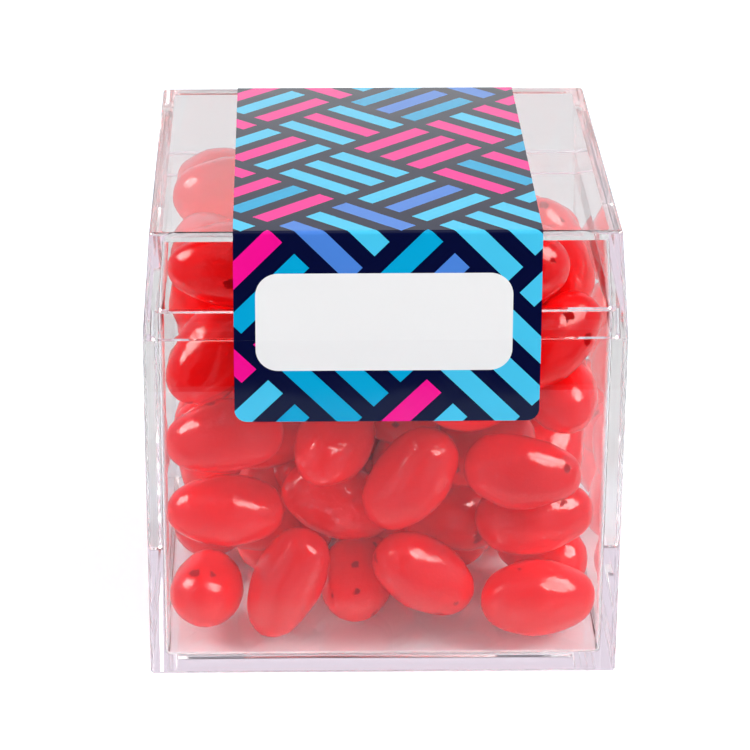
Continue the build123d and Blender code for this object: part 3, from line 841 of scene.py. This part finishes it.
def studio_world():
    """An even light for matt surfaces, and plain white where it is seen straight on. Gloss and
    clear plastic show a pale backdrop behind, pale cards above and aside, and a dim room in
    front."""
    colours = bpy.context.scene.candy_box_colours
    world = bpy.data.worlds.new("studio")
    world.use_nodes = True
    tree = world.node_tree
    tree.nodes.clear()
    way = add(tree, "ShaderNodeTexCoord").outputs["Generated"]
    part = add(tree, "ShaderNodeSeparateXYZ", {0: way})
    behind = add(tree, "ShaderNodeMapRange", {
        "Value": part.outputs["Y"], "From Min": BACKDROP_SIDE[0],
        "From Max": BACKDROP_SIDE[1]},
        interpolation_type="SMOOTHSTEP")
    low = add(tree, "ShaderNodeMapRange", {
        "Value": part.outputs["Z"], "From Min": BACKDROP_TOP[0],
        "From Max": BACKDROP_TOP[1]},
        interpolation_type="SMOOTHSTEP")
    sweep = add(tree, "ShaderNodeMath", {0: behind.outputs[0], 1: low.outputs[0]},
                operation="MULTIPLY")
    overhead = add(tree, "ShaderNodeMapRange", {
        "Value": part.outputs["Z"], "From Min": TOP_CARD[0], "From Max": TOP_CARD[1],
        "To Max": TOP_CARD[2]},
        interpolation_type="SMOOTHSTEP")
    across = add(tree, "ShaderNodeMath", {0: part.outputs["X"]}, operation="ABSOLUTE")
    aside = add(tree, "ShaderNodeMapRange", {
        "Value": across.outputs[0], "From Min": SIDE_CARDS[0], "From Max": SIDE_CARDS[1],
        "To Max": SIDE_CARDS[2]},
        interpolation_type="SMOOTHSTEP")
    rays = add(tree, "ShaderNodeLightPath")
    wing = add(tree, "ShaderNodeMapRange", {
        "Value": across.outputs[0], "From Min": WINGS[0], "From Max": WINGS[1],
        "To Max": WINGS[2]},
        interpolation_type="SMOOTHSTEP")
    wings = add(tree, "ShaderNodeMath", {
        0: wing.outputs[0], 1: rays.outputs["Is Transmission Ray"]}, operation="MULTIPLY")
    sides = add(tree, "ShaderNodeMath", {0: aside.outputs[0], 1: wings.outputs[0]},
                operation="MAXIMUM")
    cards = add(tree, "ShaderNodeMath", {0: overhead.outputs[0], 1: sides.outputs[0]},
                operation="MAXIMUM")
    pale = add(tree, "ShaderNodeMath", {0: sweep.outputs[0], 1: cards.outputs[0]},
               operation="MAXIMUM")
    by_mirror = add(tree, "ShaderNodeMath", {
        0: rays.outputs["Is Glossy Ray"], 1: rays.outputs["Is Transmission Ray"]},
        operation="SUBTRACT")
    unlit = add(tree, "ShaderNodeMix", {
        "Factor": by_mirror.outputs[0], "A": tuple(colours.inner_room),
        "B": tuple(colours.dim_room)}, data_type="RGBA")
    lit = add(tree, "ShaderNodeMix", {
        "Factor": by_mirror.outputs[0], "A": tuple(colours.backdrop),
        "B": tuple(colours.mirrored)}, data_type="RGBA")
    room = add(tree, "ShaderNodeMix", {
        "Factor": pale.outputs[0], "A": unlit.outputs["Result"], "B": lit.outputs["Result"]},
        data_type="RGBA")
    by_gloss = add(tree, "ShaderNodeMath", {
        0: rays.outputs["Is Glossy Ray"], 1: rays.outputs["Is Transmission Ray"]},
        operation="MAXIMUM")
    forward = add(tree, "ShaderNodeMath", {0: part.outputs["Y"], 1: -FRONT_LIGHT, 2: EVEN_LIGHT},
                  operation="MULTIPLY_ADD")
    even = add(tree, "ShaderNodeBackground", {"Color": (1, 1, 1, 1),
                                              "Strength": forward.outputs[0]})
    backdrop = add(tree, "ShaderNodeBackground", {"Color": room.outputs["Result"],
                                                  "Strength": 1.0})
    white = add(tree, "ShaderNodeBackground", {"Color": (1, 1, 1, 1), "Strength": 1.0})
    first = add(tree, "ShaderNodeMixShader", {
        0: by_gloss.outputs[0], 1: even.outputs[0], 2: backdrop.outputs[0]})
    last = add(tree, "ShaderNodeMixShader", {
        0: rays.outputs["Is Camera Ray"], 1: first.outputs[0], 2: white.outputs[0]})
    add(tree, "ShaderNodeOutputWorld", {"Surface": last.outputs[0]})
    return world


CAMERA_PLACE = (-0.01220, -0.38518, 0.18827)
CAMERA_PITCH = 0.381390      # radians below the horizon
CAMERA_YAW = -0.0134341      # radians, turned about +Z from +Y
CAMERA_LENS = 157.83         # millimetres, on a sensor 36 mm wide
CAMERA_SHIFT = (0.07, -0.06)


class SCENE_OT_candy_box_stage(bpy.types.Operator):
    """Sets up the table, the lamps, the studio and the camera"""
    bl_idname = "scene.candy_box_stage"
    bl_label = "Stage"

    def execute(self, context):
        sizes = context.scene.candy_box_sizes
        deselect()
        front = BASE_LOW.y - sizes.table_front
        bpy.ops.mesh.primitive_plane_add(size=1, location=(0, 0, 0))
        table = context.object
        table.name = "table"
        bpy.ops.object.mode_set(mode="EDIT")
        bpy.ops.mesh.select_all(action="SELECT")
        bpy.ops.transform.resize(value=(2 * TABLE_REACH, TABLE_DEPTH, 1))
        bpy.ops.transform.translate(value=(0, front + TABLE_DEPTH / 2, -TABLE_DROP))
        bpy.ops.object.mode_set(mode="OBJECT")
        paint(table, table_finish())

        for lamp in LAMPS:
            soft_box(*lamp)
        context.scene.world = studio_world()

        lens = bpy.data.cameras.new("camera")
        lens.sensor_width = 36
        lens.lens = CAMERA_LENS
        lens.shift_x, lens.shift_y = CAMERA_SHIFT
        lens.clip_start = 0.01
        camera = bpy.data.objects.new("camera", lens)
        context.scene.collection.objects.link(camera)
        camera.location = CAMERA_PLACE
        ahead = Vector((-math.sin(CAMERA_YAW) * math.cos(CAMERA_PITCH),
                        math.cos(CAMERA_YAW) * math.cos(CAMERA_PITCH), -math.sin(CAMERA_PITCH)))
        camera.rotation_euler = ahead.to_track_quat("-Z", "Y").to_euler()
        context.scene.camera = camera
        context.scene.view_settings.view_transform = "Standard"
        # light is guided a long way inside the plastic before it comes out at an edge
        context.scene.cycles.max_bounces = 32
        context.scene.cycles.diffuse_bounces = 12
        context.scene.cycles.glossy_bounces = 24
        context.scene.cycles.transmission_bounces = 24
        context.scene.cycles.transparent_max_bounces = 32
        return {"FINISHED"}


class VIEW3D_PT_candy_box(bpy.types.Panel):
    """Lists the steps that finish the candy box"""
    bl_idname = "VIEW3D_PT_candy_box"
    bl_label = "Candy Box"
    bl_space_type = "VIEW_3D"
    bl_region_type = "UI"
    bl_category = "Candy Box"

    def draw(self, context):
        for step in STEPS:
            self.layout.operator(step.bl_idname)
        for group in (context.scene.candy_box_sizes, context.scene.candy_box_colours):
            box = self.layout.box()
            for name in group.__annotations__:
                box.prop(group, name)


STEPS = (
    OBJECT_OT_candy_box_plastic,
    OBJECT_OT_candy_box_lid_label,
    OBJECT_OT_candy_box_label_ends,
    OBJECT_OT_candy_box_front_beans,
    OBJECT_OT_candy_box_heap_beans,
    SCENE_OT_candy_box_stage,
)
CLASSES = (CandyBoxSizes, CandyBoxColours, *STEPS, VIEW3D_PT_candy_box)


def register():
    for made in CLASSES:
        bpy.utils.register_class(made)
    bpy.types.Scene.candy_box_sizes = bpy.props.PointerProperty(type=CandyBoxSizes)
    bpy.types.Scene.candy_box_colours = bpy.props.PointerProperty(type=CandyBoxColours)


def unregister():
    del bpy.types.Scene.candy_box_colours
    del bpy.types.Scene.candy_box_sizes
    for made in reversed(CLASSES):
        bpy.utils.unregister_class(made)


def main():
    """Runs every step in order."""
    register()
    bpy.ops.object.candy_box_plastic()
    bpy.ops.object.candy_box_lid_label()
    bpy.ops.object.candy_box_label_ends()
    bpy.ops.object.candy_box_front_beans()
    bpy.ops.object.candy_box_heap_beans()
    bpy.ops.scene.candy_box_stage()


if __name__ == "__main__":
    main()
